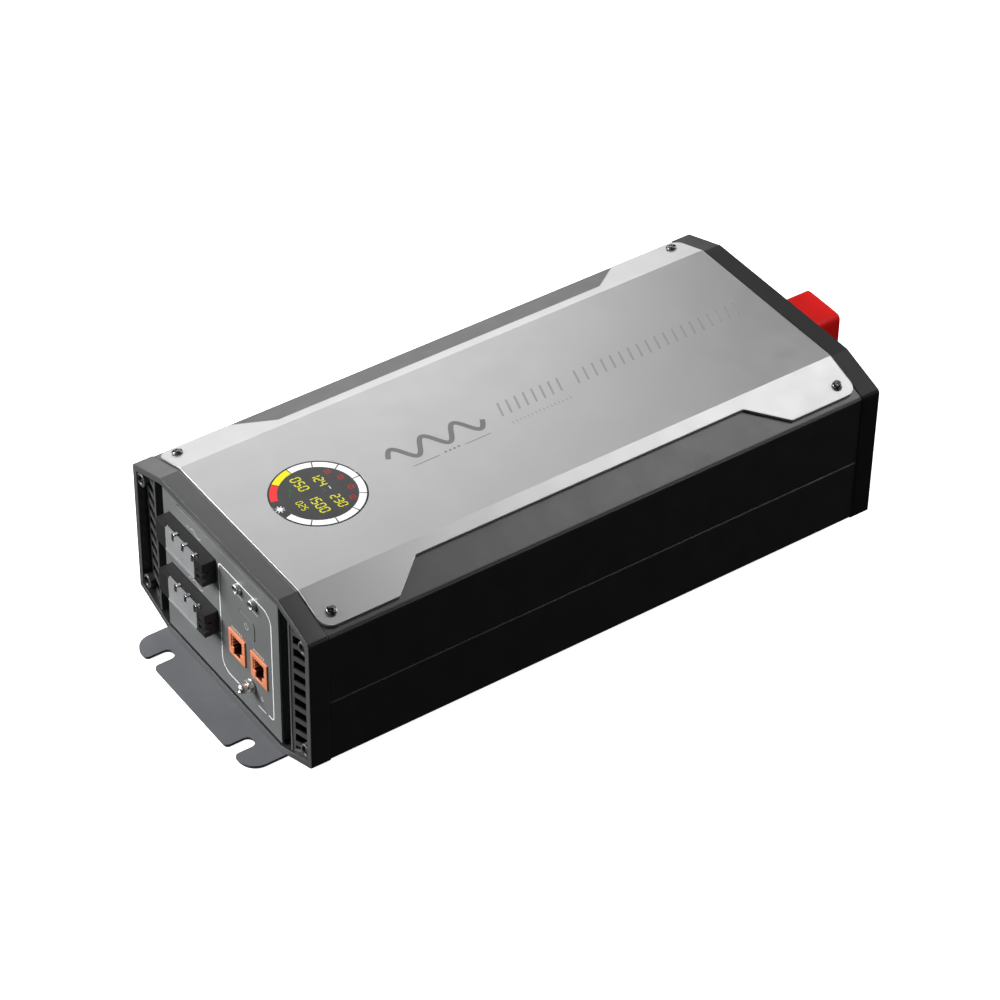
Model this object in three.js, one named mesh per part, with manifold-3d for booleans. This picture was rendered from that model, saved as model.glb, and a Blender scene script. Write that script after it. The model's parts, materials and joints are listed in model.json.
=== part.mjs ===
// A 3 kW power inverter: an octagonal black case with a silver top cover, a moulded bezel and an
// end panel at each end, and a steel base plate whose ends stick out as slotted mounting flanges.
// Millimetres, +Z up. The front panel faces -Y. The origin is the middle of the base plate's underside.
import * as THREE from "three";
import { mergeVertices } from "three/addons/utils/BufferGeometryUtils.js";
import Module from "manifold-3d";

const wasm = await Module();
wasm.setup();

// ---- Driving dimensions ----
const GAP = 0.3; // clearance between neighbouring pieces
const CUT = 1; // how far a cutting tool runs past the face it opens

// Body section, across X and up Z
const BODY_WIDTH = 200;
const BODY_LENGTH = 424.8;
const BODY_BOTTOM = 2.3;
const BODY_TOP = 125.3;
const HIP_Z = 15; // where the side wall meets the lower chamfer
const SHOULDER_Z = 113.9; // where the side wall meets the upper chamfer
const FLAT_HALF = 66.6; // half-width of the top and bottom flats
const SHOULDER_RADIUS = 3;
const SEAM_Z = 62; // joint between the upper shell and the lower tray
const CASE_INSET = 0.5; // the case sits this far inside the bezels' outline
const CASE_WALL = 2.2;

// Bezels and what fills them
const BEZEL_DEPTH = 14;
const BEZEL_RIM = 4.8;
const PANEL_INSET = 0.8; // the panel faces lie this far inside the bezel faces
const PANEL_THICKNESS = 1.5;
const PANEL_HALF = 65.3;
const PANEL_BOTTOM = 8.5;
const PANEL_TOP = 120;
const VENT_ANGLE = 15; // degrees that the louvre plates lean back
const VENT_INNER_X = 75.2;
const VENT_SLOT_X = [79, 91.5];
const VENT_SLOT_HEIGHT = 6.2;
const VENT_PITCH = 9.85;
const VENT_ROWS = 5; // slots above and below the middle one

// Base plate
const PLATE_THICKNESS = 2;
const PLATE_HALF = 69;
const FLANGE_REACH = 25;
const SLOT_X = 47;
const SLOT_WIDTH = 9;
const SLOT_DEPTH = 17;

// Top cover
const COVER_THICKNESS = 1.5;
const COVER_WIDE = 95.2; // half-width over the end lobes
const COVER_NARROW = 75.8; // half-width along the middle
const COVER_STEP_Y = [122, 146]; // the step between the two runs across this stretch
const COVER_SCREW_Y = 188;
const COVER_SCREW_SLOPE = 20; // distance down the chamfer from the fold
const COVER_SCREW_HOLE = 1.9;
const DISPLAY_Y = -141.5;
const DISPLAY_RADIUS = 30.5;
const MODULE_RADIUS = 27.7; // the display's housing, under the cover

// Front panel fittings: X and Z of each centre
const TERMINAL_X = -31.5;
const TERMINAL_Z = { upper: 95.7, lower: 54.8 };
const TERMINAL_SIZE = { width: 53.5, height: 17.6, proud: 9.7, behind: 12 };
const POLE_COUNT = 3;
const POLE_PITCH = 11.2;
const POLE_MIDDLE_X = 1; // the poles sit a little right of the block's middle
const JACK_X = { left: 17.6, right: 42.4 };
const JACK_Z = 51;
const JACK_SIZE = { width: 18.2, height: 20, depth: 16.6, proud: 1 };
const LED_X = { left: 21.1, right: 38.2 };
const LED_Z = 101;
const LED_RADIUS = 3.6;
const BUTTON = { x: 29, z: 76.5, width: 18, height: 15, radius: 3 };
const GROUND = { x: 32.4, z: 31.4 };

// Rear fittings
const FAN_X = 58;
const FAN_Z = 63.8;
const FAN_SIZE = 60;
const FAN_BORE = 28.5;
const FAN_DEPTH = 20;
const CAP_SIZE = { width: 35.5, height: 36, length: 32.2, wall: 2, radius: 2.5 };
const CAP_Z = { positive: 87.8, negative: 42 };
const CABLE_HOLE = 7.5;

const FRONT = -BODY_LENGTH / 2;
const REAR = BODY_LENGTH / 2;
const CASE_END = REAR - BEZEL_DEPTH - GAP;
const PANEL_FACE = FRONT + PANEL_INSET;
const CHAMFER_TILT = Math.atan2(BODY_TOP - SHOULDER_Z, BODY_WIDTH / 2 - FLAT_HALF);

// ---- Outlines ----

// The convex outline moved inwards by a distance; a negative distance moves it outwards.
function inset(points, distance) {
  const edges = points.map((p, i) => {
    const q = points[(i + 1) % points.length];
    const length = Math.hypot(q[0] - p[0], q[1] - p[1]);
    const n = [-(q[1] - p[1]) / length, (q[0] - p[0]) / length];
    return { n, c: n[0] * p[0] + n[1] * p[1] + distance };
  });
  return edges.map((b, i) => {
    const a = edges[(i + edges.length - 1) % edges.length];
    const det = a.n[0] * b.n[1] - a.n[1] * b.n[0];
    return [(a.c * b.n[1] - b.c * a.n[1]) / det, (a.n[0] * b.c - b.n[0] * a.c) / det];
  });
}

// A closed outline through the points, each corner rounded by its own radius (0 keeps it sharp).
function outline(points, radii = 0, Kind = THREE.Shape) {
  const path = new Kind();
  points.forEach((p, i) => {
    const radius = Array.isArray(radii) ? radii[i] : radii;
    const corner = new THREE.Vector2(...p);
    const before = new THREE.Vector2(...points[(i + points.length - 1) % points.length]);
    const after = new THREE.Vector2(...points[(i + 1) % points.length]);
    const u = before.sub(corner).normalize();
    const v = after.sub(corner).normalize();
    const place = (x, y) => (i === 0 ? path.moveTo(x, y) : path.lineTo(x, y));
    if (!radius) {
      place(p[0], p[1]);
      return;
    }
    const half = Math.acos(THREE.MathUtils.clamp(u.dot(v), -1, 1)) / 2;
    const start = corner.clone().addScaledVector(u, radius / Math.tan(half));
    const end = corner.clone().addScaledVector(v, radius / Math.tan(half));
    const middle = u.clone().add(v).normalize().multiplyScalar(radius / Math.sin(half)).add(corner);
    place(start.x, start.y);
    const angle = (q) => Math.atan2(q.y - middle.y, q.x - middle.x);
    path.absarc(middle.x, middle.y, radius, angle(start), angle(end), u.cross(v) > 0);
  });
  return path;
}

const rectangle = (x0, y0, x1, y1) => [[x0, y0], [x1, y0], [x1, y1], [x0, y1]];

function regularPolygon(sides, radius) {
  const points = [];
  for (let i = 0; i < sides; i++) {
    const a = (2 * Math.PI * i) / sides;
    points.push([radius * Math.cos(a), radius * Math.sin(a)]);
  }
  return points;
}

// ---- Solids ----

function solid(geometry) {
  const bare = geometry.index ? geometry.toNonIndexed() : geometry.clone();
  for (const name of Object.keys(bare.attributes)) {
    if (name !== "position") bare.deleteAttribute(name);
  }
  const merged = mergeVertices(bare, 1e-4);
  return new wasm.Manifold(
    new wasm.Mesh({
      numProp: 3,
      vertProperties: merged.attributes.position.array,
      triVerts: new Uint32Array(merged.index.array),
    }),
  );
}

const join = (first, ...others) => others.reduce((whole, s) => whole.add(s), first);
const cut = (first, ...tools) => tools.reduce((whole, s) => whole.subtract(s), first);

// An outline drawn in two axes and pushed along the third, from one coordinate to another.
const AXES = {
  x: new THREE.Matrix4().makeBasis(
    new THREE.Vector3(0, 1, 0), new THREE.Vector3(0, 0, 1), new THREE.Vector3(1, 0, 0)),
  y: new THREE.Matrix4().makeBasis(
    new THREE.Vector3(1, 0, 0), new THREE.Vector3(0, 0, 1), new THREE.Vector3(0, -1, 0)),
  z: new THREE.Matrix4(),
};
function prism(shape, axis, from, to, curveSegments = 2) {
  const options = { depth: to - from, bevelEnabled: false, curveSegments };
  const geometry = new THREE.ExtrudeGeometry(shape, options);
  geometry.translate(0, 0, axis === "y" ? -to : from);
  return solid(geometry.applyMatrix4(AXES[axis]));
}

function block(low, high) {
  const size = high.map((h, i) => h - low[i]);
  const geometry = new THREE.BoxGeometry(...size);
  return solid(geometry.translate(...low.map((l, i) => l + size[i] / 2)));
}

// A turned piece from [radius, height] pairs that start and end on the axis, laid along Y or Z.
function turned(profile, segments, axis = "z") {
  const points = profile.map(([r, h]) => new THREE.Vector2(r, h));
  const geometry = new THREE.LatheGeometry(points, segments);
  return solid(axis === "z" ? geometry.rotateX(Math.PI / 2) : geometry);
}

function rod(radius, from, to, segments = 16, axis = "y") {
  return turned([[0, from], [radius, from], [radius, to], [0, to]], segments, axis);
}

// ---- Materials ----
const finish = (color, roughness, metalness) => ({ color, roughness, metalness });
const FINISH = {
  cover: finish(0xb4b5b7, 0.38, 0.9),
  case: finish(0x0d0d0e, 0.45, 0.3),
  bezel: finish(0x2b2b2d, 0.5, 0),
  panel: finish(0x565958, 0.55, 0.3),
  plate: finish(0x55575b, 0.5, 0.6),
  terminal: finish(0x232323, 0.5, 0),
  lid: finish(0x8c8d8d, 0.25, 0),
  jack: finish(0xd9713a, 0.45, 0),
  chrome: finish(0xd8d8d8, 0.15, 1),
  steel: finish(0x77797c, 0.35, 1),
  red: finish(0xd8222a, 0.4, 0),
  black: finish(0x111112, 0.5, 0),
  glass: finish(0x141416, 0.1, 0),
  brass: finish(0xb5923f, 0.3, 1),
  board: finish(0x1d5a38, 0.6, 0),
  aluminium: finish(0x9b9da0, 0.4, 1),
  ferrite: finish(0x3b3a38, 0.7, 0),
  sleeve: finish(0x1f2f63, 0.4, 0),
};

const inverter = new THREE.Group();

function add(name, shape, look, parent = inverter) {
  const { vertProperties, triVerts } = shape.getMesh();
  const geometry = new THREE.BufferGeometry();
  geometry.setAttribute("position", new THREE.BufferAttribute(new Float32Array(vertProperties), 3));
  geometry.setIndex(new THREE.BufferAttribute(new Uint32Array(triVerts), 1));
  geometry.computeVertexNormals();
  const mesh = new THREE.Mesh(geometry, new THREE.MeshStandardMaterial(FINISH[look]));
  mesh.name = name;
  parent.add(mesh);
  return mesh;
}

function groupAt(x, y, z, parent = inverter) {
  const group = new THREE.Group();
  group.position.set(x, y, z);
  parent.add(group);
  return group;
}

// ---- Case ----
const HALF = BODY_WIDTH / 2;
const BODY_OUTLINE = [
  [-FLAT_HALF, BODY_BOTTOM], [FLAT_HALF, BODY_BOTTOM], [HALF, HIP_Z], [HALF, SHOULDER_Z],
  [FLAT_HALF, BODY_TOP], [-FLAT_HALF, BODY_TOP], [-HALF, SHOULDER_Z], [-HALF, HIP_Z],
];
const CORNER_RADII = [0, 0, 1, 1, 0, 0, 1, 1]; // only the four side corners are rounded

function octagonTube(outer, inner, radius, from, to) {
  const shape = outline(inset(BODY_OUTLINE, outer), CORNER_RADII.map((r) => r * radius));
  shape.holes.push(outline(inset(BODY_OUTLINE, inner), 0, THREE.Path));
  return prism(shape, "y", from, to);
}

// Where a cover screw goes through the chamfer: side is -1 or 1, end is -1 at the front.
function coverScrewPlace(side, end, depth) {
  const fold = inset(BODY_OUTLINE, depth)[4];
  const across = fold[0] + COVER_SCREW_SLOPE * Math.cos(CHAMFER_TILT);
  const up = fold[1] - COVER_SCREW_SLOPE * Math.sin(CHAMFER_TILT);
  return [side * across, end * COVER_SCREW_Y, up];
}

function drillChamfer(body, radius) {
  const drill = new THREE.CylinderGeometry(radius, radius, 12, 12).rotateX(Math.PI / 2);
  for (const side of [-1, 1]) {
    for (const end of [-1, 1]) {
      const tool = drill.clone().rotateY(side * CHAMFER_TILT);
      body = cut(body, solid(tool.translate(...coverScrewPlace(side, end, 0))));
    }
  }
  return body;
}

function makeCase() {
  const SEAM_GROOVE = 0.8; // depth and half-height of the groove that marks the seam
  const RAIL = { x: 93.5, z: [23.6, 28.4], thickness: 1.5, short: 20 }; // a pair holds the main board
  const outer = HALF - CASE_INSET;
  let tube = octagonTube(CASE_INSET, CASE_INSET + CASE_WALL, SHOULDER_RADIUS, -CASE_END, CASE_END);
  for (const side of [-1, 1]) {
    const groove = [
      [side * (outer + CUT), SEAM_Z - SEAM_GROOVE - CUT],
      [side * (outer + CUT), SEAM_Z + SEAM_GROOVE + CUT],
      [side * (outer - SEAM_GROOVE), SEAM_Z],
    ];
    if (side < 0) groove.reverse();
    tube = cut(tube, prism(outline(groove), "y", -CASE_END - CUT, CASE_END + CUT));
  }
  const below = block([-HALF, -REAR, 0], [HALF, REAR, SEAM_Z - GAP / 2]);
  const above = block([-HALF, -REAR, SEAM_Z + GAP / 2], [HALF, REAR, BODY_TOP]);
  let tray = tube.intersect(below);
  for (const side of [-1, 1]) {
    for (const z of RAIL.z) {
      const wall = side * (outer - CASE_WALL / 2);
      const low = [Math.min(wall, side * RAIL.x), RAIL.short - CASE_END, z - RAIL.thickness / 2];
      const high = [Math.max(wall, side * RAIL.x), CASE_END - RAIL.short, z + RAIL.thickness / 2];
      tray = join(tray, block(low, high));
    }
  }
  add("lower_tray", tray, "case");
  const window = rod(MODULE_RADIUS + GAP, SHOULDER_Z, BODY_TOP, 24, "z").translate([0, DISPLAY_Y, 0]);
  add("upper_shell", drillChamfer(cut(tube.intersect(above), window), COVER_SCREW_HOLE), "case");
}

function makeTopCover() {
  const sheet = octagonTube(CASE_INSET - GAP - COVER_THICKNESS, CASE_INSET - GAP, 0, -CASE_END, CASE_END);
  const [y0, y1] = COVER_STEP_Y;
  const side = [
    [COVER_WIDE, -CASE_END], [COVER_WIDE, -y1], [COVER_NARROW, -y0],
    [COVER_NARROW, y0], [COVER_WIDE, y1], [COVER_WIDE, CASE_END],
  ];
  const mirrored = side.map(([x, y]) => [-x, y]).reverse();
  const radii = [8, 3, 4, 4, 3, 8];
  const plan = outline([...side, ...mirrored], [...radii, ...radii]);
  const trimmed = sheet.intersect(prism(plan, "z", SHOULDER_Z - 12, BODY_TOP + 5, 6));
  const window = rod(DISPLAY_RADIUS, BODY_TOP - 5, BODY_TOP + 5, 64, "z").translate([0, DISPLAY_Y, 0]);
  add("top_cover", drillChamfer(cut(trimmed, window), COVER_SCREW_HOLE), "cover");
}

// A pan-head screw along +Z, its head resting on z = 0, with a cross recess.
function panScrew(headRadius, headHeight, shankRadius, shankLength, segments = 10) {
  const screw = turned([
    [0, -shankLength], [shankRadius, -shankLength], [shankRadius, 0], [headRadius, 0],
    [headRadius, 0.45 * headHeight], [0.7 * headRadius, 0.9 * headHeight], [0, headHeight],
  ], segments);
  const arm = 0.55 * headRadius;
  const width = 0.13 * headRadius;
  const deep = 0.35 * headHeight;
  const one = block([-arm, -width, deep], [arm, width, headHeight + CUT]);
  const two = block([-width, -arm, deep], [width, arm, headHeight + CUT]);
  return cut(screw, one, two);
}

function makeCoverScrews() {
  const screw = panScrew(3.5, 1.8, 1.5, 5);
  const seat = CASE_INSET - GAP - COVER_THICKNESS - GAP; // on the cover's outer face
  for (const end of [-1, 1]) {
    for (const side of [-1, 1]) {
      const name = `cover_screw_${end < 0 ? "front" : "rear"}_${side < 0 ? "left" : "right"}`;
      const mesh = add(name, screw, "steel");
      mesh.position.set(...coverScrewPlace(side, end, seat));
      mesh.rotation.y = side * CHAMFER_TILT;
    }
  }
}

// ---- Base plate ----
function makeBasePlate() {
  const end = REAR + FLANGE_REACH;
  const root = end - SLOT_DEPTH;
  const slot = (x) => [
    [x - SLOT_WIDTH / 2, -end], [x - SLOT_WIDTH / 2, -root],
    [x + SLOT_WIDTH / 2, -root], [x + SLOT_WIDTH / 2, -end],
  ];
  const frontEdge = [[-PLATE_HALF, -end], ...slot(-SLOT_X), ...slot(SLOT_X), [PLATE_HALF, -end]];
  const slotRadii = [3, SLOT_WIDTH / 2 - 0.01, SLOT_WIDTH / 2 - 0.01, 3];
  const frontRadii = [12, ...slotRadii, ...slotRadii, 12];
  const rearEdge = frontEdge.map(([x, y]) => [-x, -y]);
  const plate = outline([...frontEdge, ...rearEdge], [...frontRadii, ...frontRadii]);
  add("base_plate", prism(plate, "z", 0, PLATE_THICKNESS, 6), "plate");
}

// ---- Bezels, drawn at the front end with the outer face at y = 0 and turned round for the rear ----
const BOSS = { x: 91.6, z: [23.2, 105.6], radius: 5, setBack: 0.6, hole: 1.6, counterbore: 2.9, sink: 2.5 };

function eachBoss(make) {
  return [-1, 1].flatMap((side) => BOSS.z.map((z, i) => make(side * BOSS.x, z, side, i)));
}

function makeBezel() {
  const rim = octagonTube(0, BEZEL_RIM, SHOULDER_RADIUS, 0, BEZEL_DEPTH);
  const bosses = eachBoss((x, z) =>
    rod(BOSS.radius, BOSS.setBack, BEZEL_DEPTH - BOSS.setBack, 14).translate([x, 0, z]));
  const bores = eachBoss((x, z) =>
    join(
      rod(BOSS.hole, -CUT, BEZEL_DEPTH + CUT, 8),
      rod(BOSS.counterbore, -CUT, BOSS.setBack + BOSS.sink, 12),
    ).translate([x, 0, z]),
  );
  return cut(join(rim, ...bosses), ...bores);
}

// A louvre plate for the right-hand side: it leans back towards the outer rim. Its inner edge turns
// back into the case, and a sunken web closes the gap between it and the front panel.
function makeVent() {
  const LOUVRE = 1;
  const POST = { from: 1.2, width: 1.6 };
  const WEB = { from: 10.6, thickness: 1.4 };
  const tilt = (VENT_ANGLE * Math.PI) / 180;
  const depth = BEZEL_DEPTH - 1;
  const inside = prism(outline(inset(BODY_OUTLINE, BEZEL_RIM + GAP)), "y", 0.4, depth);
  const reach = 40;
  const lean = new THREE.BoxGeometry(reach, LOUVRE, BODY_TOP);
  lean.translate(reach / 2, LOUVRE / 2, BODY_TOP / 2).rotateZ(tilt).translate(VENT_INNER_X, POST.from, 0);
  const strip = block([VENT_INNER_X, 0, 0], [HALF, BEZEL_DEPTH, BODY_TOP]);
  const post = block([VENT_INNER_X, POST.from, 0], [VENT_INNER_X + POST.width, depth, BODY_TOP]);
  const behindPanel = PANEL_INSET + PANEL_THICKNESS + GAP;
  const edge = block(
    [PANEL_HALF - 1, behindPanel, PANEL_BOTTOM + 2],
    [PANEL_HALF + GAP, WEB.from + WEB.thickness, PANEL_TOP - 2],
  );
  const web = block(
    [PANEL_HALF - 1, WEB.from, PANEL_BOTTOM + 2],
    [VENT_INNER_X + POST.width, WEB.from + WEB.thickness, PANEL_TOP - 2],
  );
  let vent = join(solid(lean).intersect(strip), post, web, edge).intersect(inside);
  const middle = (BODY_BOTTOM + BODY_TOP) / 2;
  const keep = prism(outline(inset(BODY_OUTLINE, BEZEL_RIM + 2.5)), "y", -CUT, BEZEL_DEPTH + CUT);
  for (let i = -VENT_ROWS; i <= VENT_ROWS; i++) {
    const z = middle + i * VENT_PITCH;
    const low = [VENT_SLOT_X[0], -CUT, z - VENT_SLOT_HEIGHT / 2];
    const high = [VENT_SLOT_X[1], BEZEL_DEPTH + CUT, z + VENT_SLOT_HEIGHT / 2];
    vent = cut(vent, block(low, high).intersect(keep));
  }
  const clear = BOSS.z.map((z) =>
    rod(BOSS.radius + GAP, -CUT, BEZEL_DEPTH + CUT, 16).translate([BOSS.x, 0, z]));
  return cut(vent, ...clear);
}

function makeBezels() {
  const bezel = makeBezel();
  const screw = panScrew(2.5, 1.4, 1.3, 9, 8);
  const vent = makeVent();
  for (const end of ["front", "rear"]) {
    const group = groupAt(0, end === "front" ? FRONT : REAR, 0);
    if (end === "rear") group.rotation.z = Math.PI;
    add(`${end}_bezel`, bezel, "bezel", group);
    eachBoss((x, z, side, i) => {
      const left = (side < 0) === (end === "front");
      const name = `bezel_screw_${end}_${i ? "upper" : "lower"}_${left ? "left" : "right"}`;
      const mesh = add(name, screw, "steel", group);
      mesh.position.set(x, BOSS.setBack + BOSS.sink - GAP, z);
      mesh.rotation.x = Math.PI / 2;
    });
    if (end === "front") {
      add("front_vent_right", vent, "bezel", group);
      add("front_vent_left", vent.mirror([1, 0, 0]), "bezel", group);
    }
  }
}

// ---- Front panel and its fittings, in a group whose y = 0 is the panel's outer face ----
const panel = groupAt(0, PANEL_FACE, 0);

function makeFrontPanel() {
  const GROOVE = { half: 48, z: [116, 117.5] };
  const t = PANEL_THICKNESS;
  const plate = block([-PANEL_HALF, 0, PANEL_BOTTOM], [PANEL_HALF, t, PANEL_TOP]);
  const through = (low, high) => block([low[0], -CUT, low[1]], [high[0], t + CUT, high[1]]);
  const opening = (x, z, width, height) =>
    through([x - width / 2 - GAP, z - height / 2 - GAP], [x + width / 2 + GAP, z + height / 2 + GAP]);
  const hole = (x, z, radius) => rod(radius, -CUT, t + CUT, 16).translate([x, 0, z]);
  const openings = [
    through([-GROOVE.half, GROOVE.z[0]], [GROOVE.half, GROOVE.z[1]]),
    ...Object.values(TERMINAL_Z).map((z) =>
      opening(TERMINAL_X, z, TERMINAL_SIZE.width, TERMINAL_SIZE.height)),
    ...Object.values(JACK_X).map((x) => opening(x, JACK_Z, JACK_SIZE.width, JACK_SIZE.height)),
    ...Object.values(LED_X).map((x) => hole(x, LED_Z, LED_RADIUS + GAP)),
    hole(GROUND.x, GROUND.z, 2.5),
  ];
  const buttonHole = outline(
    inset(rectangle(-BUTTON.width / 2, -BUTTON.height / 2, BUTTON.width / 2, BUTTON.height / 2), -GAP),
    BUTTON.radius + GAP,
  );
  openings.push(prism(buttonHole, "y", -CUT, t + CUT).translate([BUTTON.x, 0, BUTTON.z]));
  add("front_panel", cut(plate, ...openings), "panel", panel);
}

// The lid is an angle: a front flap flush with the block, and a lip along the top that ends in the pin.
const LID = { thickness: 1.2, lip: 2, pinZ: 8.2, pinRadius: 0.6, pinReach: 1.2, clearance: 0.3 };
const LID_PIN_Y = LID.lip - TERMINAL_SIZE.proud;
const LID_NOTCH = { from: 7.5, to: 10.8, height: 5 }; // at the right of each pole, from its left edge
const poleX = (i) => POLE_MIDDLE_X + (i - (POLE_COUNT - 1) / 2) * POLE_PITCH;
const LID_LOW = poleX(0) - POLE_PITCH / 2;
const LID_HIGH = poleX(POLE_COUNT - 1) + POLE_PITCH / 2;
const POLE_SCREW = { z: 2.2, y: -2 };

// The terminal block, about its own centre: three open poles between two solid ends.
function makeTerminalBlock() {
  const { width, height, proud, behind } = TERMINAL_SIZE;
  const RIB = 1.6;
  const GROOVES = [[-5.2, -2.2], [0.6, 2.4]]; // round the front corner of the right-hand end
  const GROOVE_DEPTH = 5;
  const half = height / 2;
  const body = block([-width / 2, -proud, -half], [width / 2, behind, half]);
  const flapBack = LID.thickness + LID.clearance - proud;
  const tools = [
    block([LID_LOW, -proud - CUT, -half - CUT], [LID_HIGH, flapBack, half + CUT]),
    block([LID_LOW, -proud - CUT, LID.pinZ - 0.9], [LID_HIGH, LID_PIN_Y + 0.9, half + CUT]),
  ];
  for (let i = 0; i < POLE_COUNT; i++) {
    const low = [poleX(i) - (POLE_PITCH - RIB) / 2, -proud - CUT, -half - CUT];
    const high = [poleX(i) + (POLE_PITCH - RIB) / 2, POLE_SCREW.y + GAP, LID.pinZ - 2.4];
    tools.push(block(low, high));
    tools.push(rod(1.8, POLE_SCREW.y - CUT, POLE_SCREW.y + 7, 10).translate([poleX(i), 0, POLE_SCREW.z]));
  }
  for (const x of [LID_LOW, LID_HIGH]) {
    const reach = LID.pinReach + 2 * GAP;
    const socket = turned([[0, x - reach], [0.9, x - reach], [0.9, x + reach], [0, x + reach]], 10, "y");
    tools.push(socket.rotate([0, 0, -90]).translate([0, LID_PIN_Y, LID.pinZ]));
  }
  for (const [low, high] of GROOVES) {
    tools.push(block([LID_HIGH + 2.2, -proud - CUT, low], [width / 2 + CUT, GROOVE_DEPTH - proud, high]));
  }
  return cut(body, ...tools);
}

// The clear lid about its pin, with a notch at the right of each pole.
function makeTerminalLid() {
  const low = LID_LOW + GAP;
  const high = LID_HIGH - GAP;
  const front = -LID.lip;
  const back = front + LID.thickness;
  const top = TERMINAL_SIZE.height / 2 - LID.pinZ;
  const bottom = 0.2 - TERMINAL_SIZE.height / 2 - LID.pinZ;
  const flap = block([low, front, bottom], [high, back, top]);
  const lip = block([low, front, -LID.pinRadius], [high, 0, top]);
  const bead = block([low, front - 0.5, bottom], [high, back, bottom + 1.2]);
  const pin = rod(LID.pinRadius, low - LID.pinReach, high + LID.pinReach, 8).rotate([0, 0, -90]);
  const notches = [];
  for (let i = 0; i < POLE_COUNT; i++) {
    const left = LID_LOW + i * POLE_PITCH;
    notches.push(
      block([left + LID_NOTCH.from, front - CUT, -LID_NOTCH.height], [left + LID_NOTCH.to, back + 0.05, 2]),
    );
  }
  return cut(join(flap, lip, bead, pin), ...notches);
}

function makeTerminals() {
  const body = makeTerminalBlock();
  const lid = makeTerminalLid();
  const screw = panScrew(2.9, 1.8, 1.4, 5, 8);
  for (const [level, z] of Object.entries(TERMINAL_Z)) {
    const group = groupAt(TERMINAL_X, 0, z, panel);
    add(`ac_terminal_block_${level}`, body, "terminal", group);
    add(`ac_terminal_lid_${level}`, lid, "lid", group).position.set(0, LID_PIN_Y, LID.pinZ);
    for (let i = 0; i < POLE_COUNT; i++) {
      const mesh = add(`ac_terminal_screw_${level}_${i + 1}`, screw, "chrome", group);
      mesh.position.set(poleX(i), POLE_SCREW.y, POLE_SCREW.z);
      mesh.rotation.x = Math.PI / 2;
    }
  }
}

// An eight-contact network jack: a wide mouth with a narrower latch channel below it.
function makeJacks() {
  const { width, height, depth, proud } = JACK_SIZE;
  const SOCKET_DEPTH = 12.5;
  const shell = block([-width / 2, -proud, -height / 2], [width / 2, depth - proud, height / 2]);
  const mouth = block([-6.4, -proud - CUT, -3.4], [6.4, SOCKET_DEPTH, 6.6]);
  const latch = block([-3.6, -proud - CUT, -8], [3.6, SOCKET_DEPTH, 6]);
  const jack = cut(shell, mouth, latch);
  for (const [side, x] of Object.entries(JACK_X)) {
    add(`network_jack_${side}`, jack, "jack", panel).position.set(x, 0, JACK_Z);
  }
}

// A status light's holder, with a dished front for its lens and a shoulder behind the panel.
function makeStatusLights() {
  const r = LED_RADIUS;
  const holder = turned([
    [0, 2.6], [r + 1, 2.6], [r + 1, 1.8], [r, 1.8], [r, -2.4], [r - 0.5, -3], [r - 1.1, -3], [r - 1.5, -1.4],
    [0, -1.4],
  ].reverse(), 20, "y");
  for (const [side, x] of Object.entries(LED_X)) {
    add(`status_led_${side}`, holder, "chrome", panel).position.set(x, 0, LED_Z);
  }
}

// The push button's cap passes through the panel; its skirt stops against the panel's back.
function makePowerButton() {
  const { width, height, radius } = BUTTON;
  const face = rectangle(-width / 2, -height / 2, width / 2, height / 2);
  const cap = prism(outline(face, radius), "y", -0.3, 6);
  const skirtTop = PANEL_THICKNESS + GAP;
  const skirt = prism(outline(inset(face, -1.2), radius), "y", skirtTop, skirtTop + 1.5);
  add("power_button", join(cap, skirt), "panel", panel).position.set(BUTTON.x, 0, BUTTON.z);
}

// A domed earthing screw with its flanged hexagon nut against the panel
function makeGroundScrew() {
  const HEAD = { proud: 9.4, radius: 3.3, height: 3.8 };
  const NUT = { thickness: 3.4, corners: 4.4, flange: 4.8, flangeThickness: 1.2, hole: 2.3 };
  const group = groupAt(GROUND.x, 0, GROUND.z, panel);
  const screw = add("ground_screw", panScrew(HEAD.radius, HEAD.height, 2, 17, 16), "chrome", group);
  screw.position.y = HEAD.height - HEAD.proud;
  screw.rotation.x = Math.PI / 2;
  const hex = prism(outline(regularPolygon(6, NUT.corners)), "y", -NUT.thickness, -GAP);
  const flange = rod(NUT.flange, -NUT.flangeThickness, -GAP, 16);
  add("ground_nut", cut(join(hex, flange), rod(NUT.hole, -NUT.thickness - CUT, CUT, 16)), "chrome", group);
}

// ---- Display ----
function makeDisplay() {
  const MODULE_DEPTH = 16;
  const group = groupAt(0, DISPLAY_Y, 0);
  const low = BODY_TOP - CASE_INSET + GAP;
  const glass = rod(DISPLAY_RADIUS - GAP, 0, COVER_THICKNESS, 64, "z");
  add("display_window", glass, "glass", group).position.z = low;
  add("display_module", rod(MODULE_RADIUS, low - MODULE_DEPTH, low - GAP, 24, "z"), "black", group);
}

// ---- Rear panel, fans and battery terminals; y = 0 is the panel's outer face ----
const rear = groupAt(0, REAR - PANEL_INSET, 0);
const REAR_PLATE = 2;

function makeRearPanel() {
  const shape = outline(inset(BODY_OUTLINE, BEZEL_RIM + GAP));
  const plate = prism(shape, "y", -REAR_PLATE, 0);
  const bosses = eachBoss((x, z) => rod(BOSS.radius + GAP, -5, 5, 16).translate([x, 0, z]));
  const holes = [-1, 1].map((side) => rod(FAN_BORE, -5, 5, 24).translate([side * FAN_X, 0, FAN_Z]));
  for (const z of Object.values(CAP_Z)) holes.push(rod(5.5, -5, 5, 16).translate([0, 0, z]));
  add("rear_panel", cut(plate, ...bosses, ...holes), "bezel", rear);
}

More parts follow.
